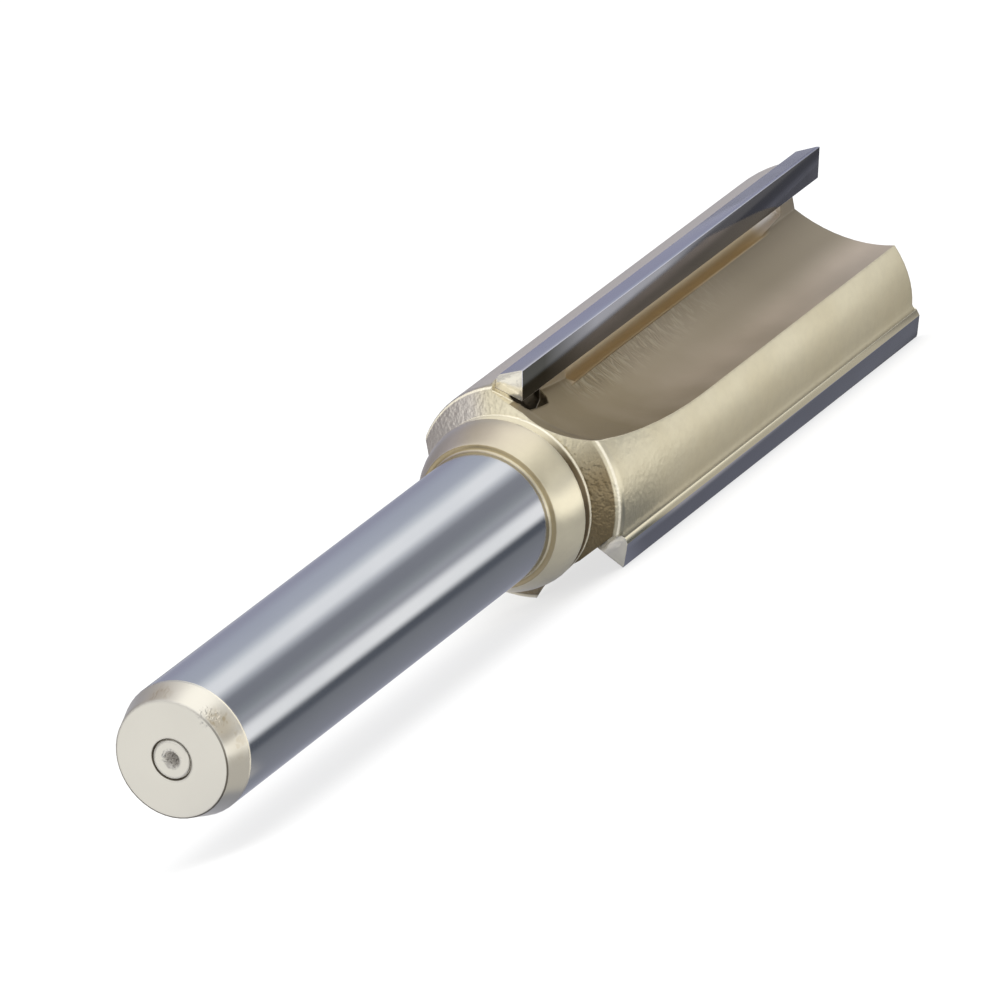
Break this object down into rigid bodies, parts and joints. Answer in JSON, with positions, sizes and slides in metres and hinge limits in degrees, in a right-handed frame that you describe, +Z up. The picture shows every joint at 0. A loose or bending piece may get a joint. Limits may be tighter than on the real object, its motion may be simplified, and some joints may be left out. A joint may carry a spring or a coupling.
{
  "type": "grooving router bit",
  "caption": "Straight grooving router bit: ground shank, flared collar, deep gullets in a plated body, and long carbide blades standing proud of the lands.",
  "frame": {"origin": "on the bench under the middle of the bit as it lies at rest", "axes": "X along the bit's axis, shank towards -X and cutting end towards +X; Z up from the bench; the pose is the rest on one blade's cutting edge and the ridge across its gullet"},
  "size_m": [0.122, 0.0208, 0.0194],
  "materials": {
    "plated_steel": "champagne nickel plate on the cutter body, bare ground steel on the shank",
    "carbide": "ground cemented carbide, plated on the faces that aren't ground"
  },
  "bodies": {
    "root": {"cutter_body": "plated_steel", "carbide_blade_1": "carbide", "carbide_blade_2": "carbide", "carbide_blade_3": "carbide"}
  },
  "joints": []
}
